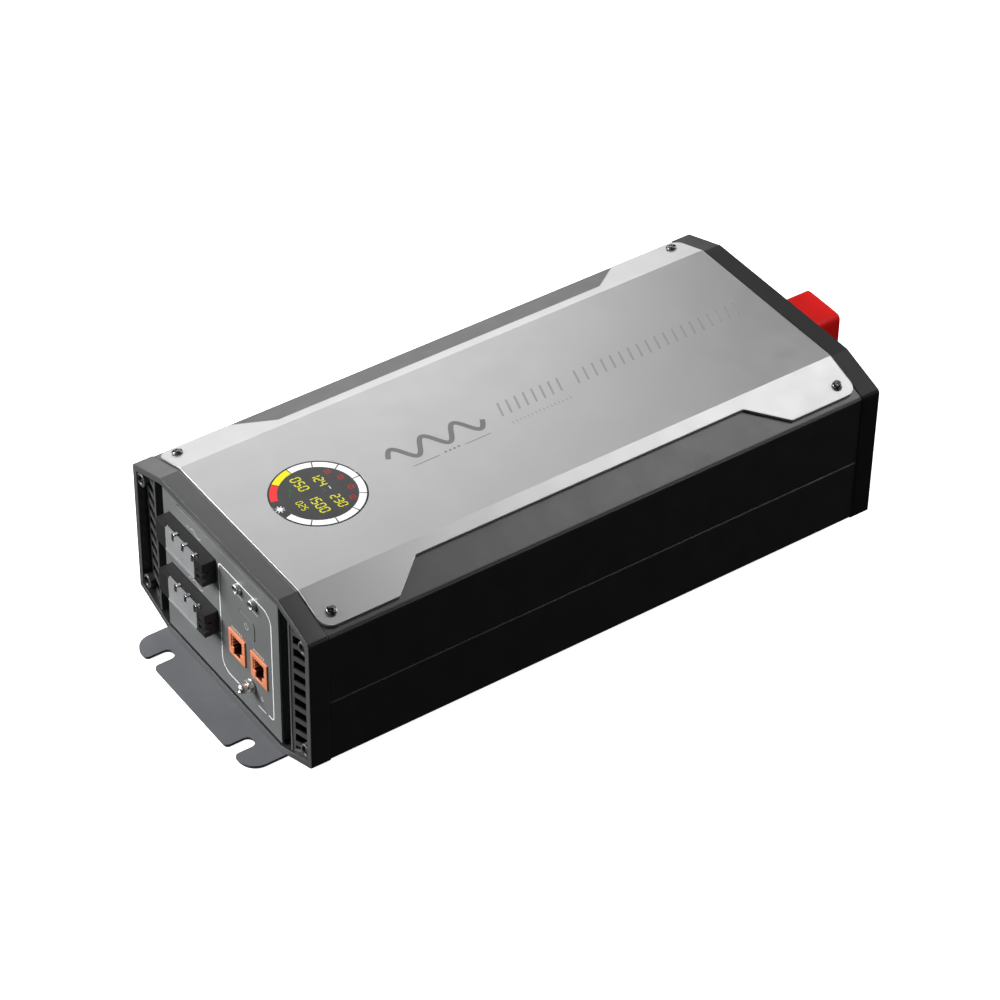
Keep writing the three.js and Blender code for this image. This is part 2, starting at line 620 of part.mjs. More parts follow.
// A square axial fan about its own axis; y = 0 is its outer face and it reaches inwards to -FAN_DEPTH.
function makeFanFrame() {
  const half = FAN_SIZE / 2;
  const shape = outline(rectangle(-half, -half, half, half), 4);
  let frame = cut(prism(shape, "y", -FAN_DEPTH, 0, 2), rod(FAN_BORE, -FAN_DEPTH - CUT, CUT, 28));
  const strut = block([-1.2, -FAN_DEPTH, 0], [1.2, -FAN_DEPTH + 2.5, FAN_BORE + 2]);
  for (let i = 0; i < 4; i++) frame = join(frame, strut.rotate([0, 45 + 90 * i, 0]));
  frame = join(frame, rod(12, -FAN_DEPTH, -FAN_DEPTH + 2.5, 20));
  return cut(frame, rod(2, -FAN_DEPTH - CUT, -FAN_DEPTH + 4, 10));
}

function makeFanRotor() {
  const BLADES = 7;
  const BLADE = { inner: 9, outer: 26.8, thickness: 1, chord: 15, pitch: 38 };
  const hub = rod(11.5, -FAN_DEPTH + 3.2, -2.2, 20);
  const pin = rod(1.5, -FAN_DEPTH + 0.4, -5, 10);
  const middle = (-FAN_DEPTH + 1) / 2;
  const plate = new THREE.BoxGeometry(BLADE.chord, BLADE.thickness, BLADE.outer - BLADE.inner);
  plate.rotateZ((BLADE.pitch * Math.PI) / 180);
  const blade = solid(plate.translate(0, middle, (BLADE.inner + BLADE.outer) / 2));
  const swept = rod(BLADE.outer, -FAN_DEPTH + 3.4, -1.4, 20);
  let blades = null;
  for (let i = 0; i < BLADES; i++) {
    const one = blade.rotate([0, (360 * i) / BLADES, 0]).intersect(swept);
    blades = blades ? blades.add(one) : one;
  }
  return join(hub, pin, blades);
}

// A finger guard: rings held by two long ties that end in fixing ears.
function makeFanGuard() {
  const RINGS = [[8, 10], [17, 19], [26, 28.5]];
  const TIE = { half: 1.4, reach: 35 };
  const thickness = 0.9;
  const ring = ([inner, outer]) =>
    cut(rod(outer, 0, thickness, 20), rod(inner, -CUT, thickness + CUT, 20));
  const tie = block([-TIE.half, 0, -TIE.reach], [TIE.half, thickness, TIE.reach]);
  return join(...RINGS.map(ring), tie.rotate([0, 45, 0]), tie.rotate([0, -45, 0]));
}

function makeFans() {
  const frame = makeFanFrame();
  const rotor = makeFanRotor();
  const guard = makeFanGuard();
  for (const [side, x] of [["left", -FAN_X], ["right", FAN_X]]) {
    const group = groupAt(x, -REAR_PLATE - GAP, FAN_Z, rear);
    add(`fan_frame_${side}`, frame, "black", group);
    add(`fan_rotor_${side}`, rotor, "black", group);
    add(`fan_guard_${side}`, guard, "steel", group).position.y = REAR_PLATE + 2 * GAP;
  }
}

function makeBatteryTerminals() {
  const INSULATOR = { half: 14, low: 23.5, high: 107.5, thickness: 4 };
  const STUD = 4;
  const { half, low, high, thickness } = INSULATOR;
  let insulator = block([-half, GAP, low], [half, GAP + thickness, high]);
  const stud = join(
    rod(STUD, -14, 23.5, 14),
    rod(8.5, GAP + thickness + GAP, 8, 20),
    prism(outline(regularPolygon(6, 7.5)), "y", 12, 18),
  );
  for (const [pole, z] of Object.entries(CAP_Z)) {
    insulator = cut(insulator, rod(STUD + GAP, -5, 10, 14).translate([0, 0, z]));
    add(`battery_stud_${pole}`, stud, "brass", rear).position.z = z;
  }
  add("battery_insulator", insulator, "black", rear);
}

// A pull-off boot over each battery stud, open towards the panel, with a cable hole in its end.
function makeTerminalCaps() {
  const START = 4.8;
  const STEP = 1.2; // the end edges are stepped in by this much
  const { width, height, length, wall, radius } = CAP_SIZE;
  const face = rectangle(-width / 2, -height / 2, width / 2, height / 2);
  const outer = join(
    prism(outline(face, radius), "y", START, START + length - STEP),
    prism(outline(inset(face, STEP), radius - STEP), "y", START, START + length),
  );
  const hollow = prism(outline(inset(face, wall), 0.5), "y", START - CUT, START + length - wall);
  const cap = cut(outer, hollow, rod(CABLE_HOLE, START, START + length + CUT, 20));
  add("battery_cap_positive", cap, "red", rear).position.z = CAP_Z.positive;
  add("battery_cap_negative", cap, "black", rear).position.z = CAP_Z.negative;
}

// ---- Inside the case ----
function makeElectronics() {
  const BOARD = { half: 95.2, z: [25.3, 26.9], y: [-185, 180] };
  const top = BOARD.z[1] + GAP;
  add("main_board", block([-BOARD.half, BOARD.y[0], BOARD.z[0]], [BOARD.half, BOARD.y[1], BOARD.z[1]]), "board");
  const behindJacks = PANEL_FACE + JACK_SIZE.depth - JACK_SIZE.proud + GAP;
  add("control_board", block([2, behindJacks, 37], [60, behindJacks + 1.6, 112]), "board");

  const FIN = { count: 8, thickness: 2, depth: 18, base: 4 };
  const SINK = { outer: 90, z: [top, 104], y: [-150, 160] };
  const pitch = (SINK.z[1] - SINK.z[0] - FIN.thickness) / (FIN.count - 1);
  const comb = [[SINK.outer, SINK.z[0]], [SINK.outer, SINK.z[1]]];
  for (let i = FIN.count - 1; i >= 0; i--) {
    const z = SINK.z[0] + i * pitch;
    const tip = SINK.outer - FIN.base - FIN.depth;
    comb.push([tip, z + FIN.thickness], [tip, z]);
    if (i > 0) comb.push([SINK.outer - FIN.base, z], [SINK.outer - FIN.base, z - pitch + FIN.thickness]);
  }
  const sink = prism(outline(comb), "y", SINK.y[0], SINK.y[1]);
  add("heatsink_right", sink, "aluminium");
  add("heatsink_left", sink.mirror([1, 0, 0]), "aluminium");

  const core = join(
    block([-28, -22, 0], [28, 22, 50]),
    prism(outline(rectangle(-20, -33, 20, 33), 8), "z", 9, 41),
  );
  const can = turned([[0, 0], [17, 0], [17, 48], [16, 50], [0, 50]], 20);
  for (const [place, y] of [["front", -70], ["rear", 40]]) {
    add(`transformer_${place}`, core, "ferrite").position.set(0, y, top);
    add(`bus_capacitor_${place}`, can, "sleeve").position.set(place === "front" ? -30 : 30, 115, top);
  }
}

makeCase();
makeTopCover();
makeCoverScrews();
makeBasePlate();
makeBezels();
makeFrontPanel();
makeTerminals();
makeJacks();
makeStatusLights();
makePowerButton();
makeGroundScrew();
makeDisplay();
makeRearPanel();
makeFans();
makeBatteryTerminals();
makeTerminalCaps();
makeElectronics();

export default inverter;
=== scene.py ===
import json
import math
import random

import bmesh
import bpy
from mathutils import Matrix, Vector


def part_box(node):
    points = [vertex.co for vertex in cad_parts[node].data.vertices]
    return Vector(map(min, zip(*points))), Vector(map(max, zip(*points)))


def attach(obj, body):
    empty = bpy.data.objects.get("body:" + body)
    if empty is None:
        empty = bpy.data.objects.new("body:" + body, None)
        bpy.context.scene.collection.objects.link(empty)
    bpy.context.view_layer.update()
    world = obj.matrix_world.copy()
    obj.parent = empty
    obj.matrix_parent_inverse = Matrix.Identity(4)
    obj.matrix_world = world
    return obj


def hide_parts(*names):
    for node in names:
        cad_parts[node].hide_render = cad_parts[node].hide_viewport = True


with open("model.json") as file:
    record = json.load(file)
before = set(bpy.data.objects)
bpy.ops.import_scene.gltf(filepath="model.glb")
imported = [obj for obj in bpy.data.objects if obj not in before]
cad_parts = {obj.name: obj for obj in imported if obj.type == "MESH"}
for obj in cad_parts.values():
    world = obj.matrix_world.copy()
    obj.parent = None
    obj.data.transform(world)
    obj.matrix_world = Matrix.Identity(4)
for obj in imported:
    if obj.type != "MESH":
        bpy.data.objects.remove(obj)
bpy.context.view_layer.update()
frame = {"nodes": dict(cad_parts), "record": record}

random.seed(7)
MM = 0.001
CHASSIS = "chassis"
SIDES = ("left", "right")
LEVELS = ("lower", "upper")

# ---------------------------------------------------------------- camera, floor, light
CAMERA = {  # millimetres and degrees
    "target": (17.5, -20.0, 76.0),
    "distance": 2313.0,
    "azimuth": 54.57,
    "elevation": 40.39,
    "roll": 0.99,
    "lens": 134.3,
}


def direction(azimuth, elevation):
    """The unit vector from the object towards a viewer at this azimuth and elevation."""
    a, e = math.radians(azimuth), math.radians(elevation)
    return Vector((math.sin(a) * math.cos(e), -math.cos(a) * math.cos(e), math.sin(e)))


def make_camera():
    back = direction(CAMERA["azimuth"], CAMERA["elevation"])
    data = bpy.data.cameras.new("camera")
    data.lens = CAMERA["lens"]
    data.clip_start, data.clip_end = 0.1, 30.0
    camera = bpy.data.objects.new("camera", data)
    bpy.context.scene.collection.objects.link(camera)
    camera.location = (Vector(CAMERA["target"]) + back * CAMERA["distance"]) * MM
    turn = (-back).to_track_quat("-Z", "Y").to_matrix().to_4x4()
    roll = Matrix.Rotation(math.radians(CAMERA["roll"]), 4, "Z")
    camera.rotation_euler = (turn @ roll).to_euler()
    bpy.context.scene.camera = camera


def softbox(name, azimuth, elevation, distance, size, power, aim=(0.0, 0.0, 0.07)):
    data = bpy.data.lights.new(name, "AREA")
    data.shape = "RECTANGLE"
    data.size, data.size_y = size
    data.energy = power
    light = bpy.data.objects.new(name, data)
    bpy.context.scene.collection.objects.link(light)
    light.location = Vector(aim) + direction(azimuth, elevation) * distance
    light.rotation_euler = (Vector(aim) - light.location).to_track_quat("-Z", "Y").to_euler()


def make_stage():
    """A plain pale floor that lights nothing, a pale world, and a soft box for each face's reflection."""
    scene = bpy.context.scene
    scene.view_settings.view_transform = "Standard"
    world = bpy.data.worlds.new("studio")
    scene.world = world
    world.use_nodes = True
    nodes, links = world.node_tree.nodes, world.node_tree.links
    ambient = nodes["Background"]
    ambient.inputs["Color"].default_value = (0.93, 0.95, 1.0, 1)
    ambient.inputs["Strength"].default_value = 0.015
    backdrop = nodes.new("ShaderNodeBackground")
    backdrop.inputs["Color"].default_value = (1, 1, 1, 1)
    path = nodes.new("ShaderNodeLightPath")
    mix = nodes.new("ShaderNodeMixShader")
    links.new(path.outputs["Is Camera Ray"], mix.inputs["Fac"])
    links.new(ambient.outputs[0], mix.inputs[1])
    links.new(backdrop.outputs[0], mix.inputs[2])
    links.new(mix.outputs[0], nodes["World Output"].inputs["Surface"])

    bpy.ops.mesh.primitive_plane_add(size=30, location=(0, 0, -0.0005))
    floor = bpy.context.object
    floor.name = "floor"
    floor.visible_glossy = False
    floor.visible_diffuse = False
    floor.data.materials.append(paint("floor_pale", (0.93, 0.93, 0.93), rough=0.9, specular=0.1, tone=0,
                                      glow=1.0))

    softbox("key_left", -111, 23, 1.8, (1.05, 1.5), 9.2)
    softbox("overhead_rear", -167, 61, 1.15, (0.65, 0.6), 3.1, aim=(0.0, 0.17, 0.12))
    softbox("front_near", -42, 30, 1.25, (0.8, 0.6), 31, aim=(0.0, -0.2, 0.07))
    softbox("edge_right", 117, 14, 1.9, (0.5, 0.3), 1.5)
    softbox("fill_front", 22, 34, 2.2, (1.6, 0.9), 5)
    softbox("fill_rear", 172, 18, 2.2, (1.4, 0.8), 26)


# ---------------------------------------------------------------- materials
def paint(
    name,
    color,
    rough=0.5,
    metal=0.0,
    specular=0.5,
    tone=0.06,
    tone_scale=30.0,
    rough_spread=0.05,
    grain=0.0,
    grain_scale=2500.0,
    streak=None,
    transmission=0.0,
    glow=None,
    ior=1.5,
    painted_end_light=None,
):
    """A procedural surface: cloudy tone, uneven roughness, and fine grain or streaks as bump.

    streak stretches the grain along an axis, as brushing does: a scale for each axis. The colour for the
    faces that look along Y is painted light: it makes those faces lighter, as if a lamp shone on them.
    """
    material = bpy.data.materials.new(name)
    material.use_nodes = True
    nodes, links = material.node_tree.nodes, material.node_tree.links
    shader = nodes["Principled BSDF"]
    shader.inputs["Metallic"].default_value = metal
    shader.inputs["Specular IOR Level"].default_value = specular
    shader.inputs["IOR"].default_value = ior
    shader.inputs["Transmission Weight"].default_value = transmission
    place = nodes.new("ShaderNodeTexCoord")

    cloud = nodes.new("ShaderNodeTexNoise")
    cloud.inputs["Scale"].default_value = tone_scale
    cloud.inputs["Detail"].default_value = 4
    links.new(place.outputs["Object"], cloud.inputs["Vector"])
    ramp = nodes.new("ShaderNodeValToRGB")
    low, high = ramp.color_ramp.elements
    low.position, high.position = 0.3, 0.7
    low.color = [c * (1 - tone) for c in color] + [1]
    high.color = [min(1.0, c * (1 + tone)) for c in color] + [1]
    links.new(cloud.outputs["Fac"], ramp.inputs["Fac"])
    links.new(ramp.outputs["Color"], shader.inputs["Base Color"])
    # painted light: faces that look along Y are blended towards a lighter colour by their normal
    if painted_end_light:
        axes = nodes.new("ShaderNodeSeparateXYZ")
        links.new(place.outputs["Normal"], axes.inputs[0])
        size = nodes.new("ShaderNodeMath")
        size.operation = "ABSOLUTE"
        links.new(axes.outputs["Y"], size.inputs[0])
        facing = nodes.new("ShaderNodeMapRange")
        facing.inputs["From Min"].default_value = 0.85
        facing.inputs["From Max"].default_value = 0.97
        links.new(size.outputs[0], facing.inputs["Value"])
        blend = nodes.new("ShaderNodeMix")  # its colours are inputs 6 and 7, and output 2
        blend.data_type = "RGBA"
        blend.inputs[7].default_value = [*painted_end_light, 1]
        links.new(facing.outputs["Result"], blend.inputs[0])
        links.new(ramp.outputs["Color"], blend.inputs[6])
        links.new(blend.outputs[2], shader.inputs["Base Color"])

    spread = nodes.new("ShaderNodeMapRange")
    spread.inputs["From Min"].default_value = 0.3
    spread.inputs["From Max"].default_value = 0.7
    spread.inputs["To Min"].default_value = max(0.02, rough - rough_spread)
    spread.inputs["To Max"].default_value = min(1.0, rough + rough_spread)
    smear = nodes.new("ShaderNodeTexNoise")
    smear.inputs["Scale"].default_value = tone_scale * 2.3
    smear.inputs["Detail"].default_value = 5
    links.new(place.outputs["Object"], smear.inputs["Vector"])
    links.new(smear.outputs["Fac"], spread.inputs["Value"])
    links.new(spread.outputs["Result"], shader.inputs["Roughness"])

    if grain:
        fine = nodes.new("ShaderNodeTexNoise")
        fine.inputs["Scale"].default_value = grain_scale
        fine.inputs["Detail"].default_value = 2
        source = place.outputs["Object"]
        if streak:
            stretch = nodes.new("ShaderNodeMapping")
            stretch.inputs["Scale"].default_value = streak
            links.new(source, stretch.inputs["Vector"])
            source = stretch.outputs["Vector"]
        links.new(source, fine.inputs["Vector"])
        bump = nodes.new("ShaderNodeBump")
        bump.inputs["Strength"].default_value = grain
        bump.inputs["Distance"].default_value = 0.00008
        links.new(fine.outputs["Fac"], bump.inputs["Height"])
        links.new(bump.outputs["Normal"], shader.inputs["Normal"])
    if glow:
        shader.inputs["Emission Color"].default_value = [*color, 1]
        shader.inputs["Emission Strength"].default_value = glow
    return material


def make_materials():
    return {
        "case_black": paint("black_powder_coat", (0.0055, 0.0053, 0.005), 0.42, ior=2.05, grain=0.5,
                            grain_scale=1800, rough_spread=0.03),
        "cover_silver": paint("satin_silver", (0.52, 0.52, 0.525), 0.36, metal=0.92, tone=0.02, grain=0.18,
                              grain_scale=3200, rough_spread=0.02),
        "screw_steel": paint("dark_zinc", (0.17, 0.17, 0.175), 0.24, metal=1.0, tone=0.15, tone_scale=400,
                             grain=0.2, grain_scale=4000),
        "plate_grey": paint("grey_powder_coat", (0.12, 0.125, 0.135), 0.5, specular=0.45, grain=0.8,
                            grain_scale=1500, tone=0.08),
        # the bezels' faces along Y get a lighter colour: painted light on their front and back faces
        "bezel_black": paint("charcoal_moulding", (0.016, 0.016, 0.017), 0.38, ior=1.85, grain=0.4,
                             grain_scale=2200, rough_spread=0.03, painted_end_light=(0.075, 0.077, 0.078)),
        # a darker copy of the bezel's moulding for the rear bezel: painted shade
        "bezel_black_shaded": paint("charcoal_moulding_shaded", (0.01, 0.01, 0.01), 0.45, ior=1.4, grain=0.4,
                                  grain_scale=2200, rough_spread=0.03, painted_end_light=(0.05, 0.052, 0.053)),
        "panel_grey": paint("grey_panel", (0.14, 0.146, 0.146), 0.5, specular=0.4, grain=0.3,
                            grain_scale=2600),
        "terminal_black": paint("black_moulding", (0.02, 0.02, 0.021), 0.45, specular=0.4, grain=0.3),
        "terminal_clear": paint("smoky_clear", (0.34, 0.345, 0.35), 0.3, specular=0.5, transmission=0.2,
                                rough_spread=0.03, tone=0.08, tone_scale=60),
        "bright_metal": paint("nickel", (0.86, 0.85, 0.83), 0.32, metal=1.0, tone=0.06, tone_scale=500,
                              grain=0.15, grain_scale=5000),
        "jack_orange": paint("orange_moulding", (0.74, 0.25, 0.12), 0.42, tone=0.08, tone_scale=120,
                             grain=0.3),
        "display_glass": paint("black_window", (0.01, 0.01, 0.012), 0.12, specular=0.4, rough_spread=0.03),
        "fan_black": paint("fan_plastic", (0.016, 0.016, 0.017), 0.42, grain=0.3),
        "guard_wire": paint("plated_wire", (0.6, 0.6, 0.62), 0.22, metal=1.0, tone=0.1, tone_scale=300),
        "stud_brass": paint("brass", (0.62, 0.43, 0.17), 0.25, metal=1.0, tone=0.1, tone_scale=300,
                            grain=0.2),
        "cap_red": paint("red_rubber", (0.93, 0.012, 0.012), 0.55, specular=0.1, tone=0.05, grain=0.3,
                         grain_scale=1800),
        "cap_black": paint("black_rubber", (0.014, 0.014, 0.014), 0.5, specular=0.4, grain=0.35,
                           grain_scale=1800),
        "board_green": paint("board_laminate", (0.02, 0.12, 0.045), 0.35, tone=0.2, tone_scale=250),
        "heatsink_metal": paint("raw_aluminium", (0.5, 0.5, 0.52), 0.4, metal=1.0, grain=0.3,
                                grain_scale=1500, streak=(1, 0.02, 1)),
        "ferrite": paint("ferrite", (0.045, 0.042, 0.04), 0.7, grain=0.6, grain_scale=1200, tone=0.2),
        "capacitor_sleeve": paint("blue_sleeve", (0.015, 0.03, 0.12), 0.25, tone=0.1),
    }


# ---------------------------------------------------------------- mesh helpers, in millimetres
def top_place(x, y, z):
    """Maps (u, v, height) on an upward face to the frame."""
    return lambda u, v, h: Vector((x + u, y + v, z + h)) * MM


def front_place(x, y, z):
    """Maps (u, v, height) on a face that looks along -Y to the frame."""
    return lambda u, v, h: Vector((x + u, y - h, z + v)) * MM


def rear_place(x, y, z):
    """Maps (u, v, height) on a face that looks along +Y to the frame."""
    return lambda u, v, h: Vector((x - u, y + h, z + v)) * MM


def add_prism(bm, points, place, low, high):
    """A closed prism on an anticlockwise outline."""
    bottom = [bm.verts.new(place(u, v, low)) for u, v in points]
    top = [bm.verts.new(place(u, v, high)) for u, v in points]
    bm.faces.new(top)
    bm.faces.new(bottom[::-1])
    count = len(points)
    for i in range(count):
        j = (i + 1) % count
        bm.faces.new((bottom[i], bottom[j], top[j], top[i]))


def add_ribbon(bm, points, width, place, low, high, closed=False):
    """A flat band of even width along a path, mitred at its corners."""
    count = len(points)
    rings = []
    for i, (u, v) in enumerate(points):
        before = Vector(points[i - 1]) if (closed or i) else None
        after = Vector(points[(i + 1) % count]) if (closed or i < count - 1) else None
        here = Vector((u, v))
        a = (here - before).normalized() if before is not None else None
        b = (after - here).normalized() if after is not None else None
        a, b = a or b, b or a
        middle = (a + b).normalized()
        reach = width / 2 / max(0.3, middle.dot(a))
        side = Vector((-middle.y, middle.x)) * reach
        left, right = here + side, here - side
        rings.append([bm.verts.new(place(p.x, p.y, h)) for p, h in
                      ((right, low), (right, high), (left, high), (left, low))])
    spans = range(count) if closed else range(count - 1)
    for i in spans:
        j = (i + 1) % count
        for k in range(4):
            m = (k + 1) % 4
            bm.faces.new((rings[i][k], rings[i][m], rings[j][m], rings[j][k]))
    if not closed:
        bm.faces.new(rings[0][::-1])
        bm.faces.new(rings[-1])


def add_tube(bm, points, radius, sides=8, closed=False):
    """A round bar along a path of frame points, in metres."""
    count = len(points)
    rings = []
    normal = None
    for i in range(count):
        before = points[i - 1] if (closed or i) else points[i]
        after = points[(i + 1) % count] if (closed or i < count - 1) else points[i]
        along = (after - before).normalized()
        if normal is None:
            normal = along.orthogonal().normalized()
        normal = (normal - along * normal.dot(along)).normalized()
        other = along.cross(normal)
        rings.append([
            bm.verts.new(points[i] + (normal * math.cos(t) + other * math.sin(t)) * radius)
            for t in (2 * math.pi * k / sides for k in range(sides))
        ])
    for i in range(count if closed else count - 1):
        j = (i + 1) % count
        for k in range(sides):
            m = (k + 1) % sides
            bm.faces.new((rings[i][k], rings[i][m], rings[j][m], rings[j][k]))
    if not closed:
        bm.faces.new(rings[0][::-1])
        bm.faces.new(rings[-1])


def add_turned(bm, profile, place, segments=32):
    """A turned piece from (radius, height) pairs; the first and last lie on the axis."""
    rings = []
    for radius, height in profile:
        if radius < 1e-6:
            rings.append([bm.verts.new(place(0, 0, height))])
            continue
        rings.append([
            bm.verts.new(place(radius * math.cos(t), radius * math.sin(t), height))
            for t in (2 * math.pi * k / segments for k in range(segments))
        ])
    for low, high in zip(rings, rings[1:]):
        for k in range(segments):
            m = (k + 1) % segments
            if len(low) == 1:
                bm.faces.new((low[0], high[m], high[k]))
            elif len(high) == 1:
                bm.faces.new((low[k], low[m], high[0]))
            else:
                bm.faces.new((low[k], low[m], high[m], high[k]))


def arc(x, y, radius, start, end, steps=8):
    """Points along an arc, with its angles in degrees."""
    return [
        (x + radius * math.cos(math.radians(a)), y + radius * math.sin(math.radians(a)))
        for a in (start + (end - start) * i / steps for i in range(steps + 1))
    ]


def rounded(points, radii, steps=6):
    """The anticlockwise outline with its corners rounded."""
    result = []
    for i, p in enumerate(points):
        corner, before, after = Vector(p), Vector(points[i - 1]), Vector(points[(i + 1) % len(points)])
        radius = radii[i]
        if not radius:
            result.append(tuple(corner))
            continue
        a, b = (before - corner).normalized(), (after - corner).normalized()
        half = a.angle(b) / 2
        middle = corner + (a + b).normalized() * radius / math.sin(half)
        start, end = corner + a * radius / math.tan(half), corner + b * radius / math.tan(half)
        first = math.atan2(start.y - middle.y, start.x - middle.x)
        sweep = math.atan2(end.y - middle.y, end.x - middle.x) - first
        sweep = (sweep + math.pi) % (2 * math.pi) - math.pi
        result += [
            (middle.x + radius * math.cos(first + sweep * k / steps),
             middle.y + radius * math.sin(first + sweep * k / steps))
            for k in range(steps + 1)
        ]
    return result


def box_points(x0, y0, x1, y1):
    return [(x0, y0), (x1, y0), (x1, y1), (x0, y1)]


def finish_piece(name, bm, body, look, smooth=35.0, replaces=(), bevel=0.0):
    """Turns the mesh into a named piece on its body, facing out and shaded smooth below an angle."""
    bmesh.ops.recalc_face_normals(bm, faces=bm.faces)
    mesh = bpy.data.meshes.new(name)
    bm.to_mesh(mesh)
    bm.free()
    mesh.shade_smooth()
    mesh.set_sharp_from_angle(angle=math.radians(smooth))
    mesh.materials.append(look)
    piece = bpy.data.objects.new(name, mesh)
    bpy.context.scene.collection.objects.link(piece)
    if bevel:
        add_bevel(piece, bevel)
    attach(piece, body)
    if replaces:
        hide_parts(*replaces)


def add_bevel(piece, width, angle=12.0, clamp=True):
    """Rounds the edges that are sharper than the angle, and shades the flats as flats."""
    weld = piece.modifiers.new("weld", "WELD")
    weld.merge_threshold = 1e-6
    bevel = piece.modifiers.new("bevel", "BEVEL")
    bevel.width = width * MM
    bevel.segments = 2
    bevel.limit_method = "ANGLE"
    bevel.angle_limit = math.radians(angle)
    bevel.miter_outer = "MITER_ARC"
    bevel.use_clamp_overlap = clamp
    shading = piece.modifiers.new("shading", "WEIGHTED_NORMAL")
    shading.mode = "FACE_AREA"
    shading.weight = 60


def middle_of(node):
    low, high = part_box(node)
    return (low + high) / (2 * MM)


# ---------------------------------------------------------------- CAD nodes
BEVELS = {
    "top_cover": 0.35, "upper_shell": 0.5, "lower_tray": 0.5, "front_bezel": 0.6, "rear_bezel": 0.6,
    "base_plate": 0.35, "front_panel": 0.25, "rear_panel": 0.3, "front_vent_left": 0.35,
    "front_vent_right": 0.35, "ac_terminal_block_lower": 0.3, "ac_terminal_block_upper": 0.3,
    "ac_terminal_lid_lower": 0.2, "ac_terminal_lid_upper": 0.2, "network_jack_left": 0.3,
    "network_jack_right": 0.3, "power_button": 0.5, "fan_frame_left": 0.4, "fan_frame_right": 0.4,
    "display_window": 0.3, "battery_insulator": 0.5, "ground_nut": 0.25, "main_board": 0.1,
    "transformer_front": 0.8, "transformer_rear": 0.8,
}
# the rear bezel takes the darker copy of the bezel's material, a painted shade
SHADED_LOOKS = {"rear_bezel": "bezel_black_shaded"}
FULL_BEVELS = ("front_bezel", "rear_bezel")  # keep their width past short edges


def dress_cad(looks):
    """Gives every CAD node the material of its slot, and soft edges where they show."""
    for row in frame["record"]["subparts"]:
        node = frame["nodes"][row["node"]]
        node.data.materials.clear()
        node.data.materials.append(looks[SHADED_LOOKS.get(row["node"], row["material_slot"])])
        node.data.attributes.remove(node.data.attributes["custom_normal"])
        node.data.shade_smooth()
        full = row["node"] in FULL_BEVELS
        add_bevel(node, BEVELS.get(row["node"], 0.12), angle=16.0 if full else 12.0, clamp=not full)


# ---------------------------------------------------------------- display
DISPLAY = {"ring": (24.7, 29.3), "sectors": 11, "divider": 0.7, "start": 90.0}
SECTOR_COLORS = {6: "red", 7: "yellow"}  # the others are white


def seven_segment(bm, text, x, y, height, place, low, high):
    """Figures of a segment display, centred on (x, y)."""
    lit = {"0": "abcdef", "1": "bc", "2": "abdeg", "3": "abcdg", "4": "bcfg", "5": "acdfg",
           "6": "acdefg", "7": "abc", "8": "abcdefg", "9": "abcdfg"}
    width, bar, slant = height * 0.5, height * 0.15, 0.08
    pitch = height * 0.78
    for i, figure in enumerate(text):
        cx = x + (i - (len(text) - 1) / 2) * pitch
        a, b = width / 2, height / 2
        ends = {
            "a": ((-a, b), (a, b)), "b": ((a, b), (a, 0)), "c": ((a, 0), (a, -b)), "d": ((-a, -b), (a, -b)),
            "e": ((-a, 0), (-a, -b)), "f": ((-a, b), (-a, 0)), "g": ((-a, 0), (a, 0)),
        }
        for segment in lit[figure]:
            start, end = (Vector(p) for p in ends[segment])
            along = (end - start).normalized()
            start, end = start + along * bar * 0.6, end - along * bar * 0.6
            side = Vector((-along.y, along.x)) * bar / 2
            tip = along * bar / 2
            shape = [start - tip, start - side, end - side, end + tip, end + side, start + side]
            add_prism(bm, [(cx + p.x + p.y * slant, y + p.y) for p in shape], place, low, high)


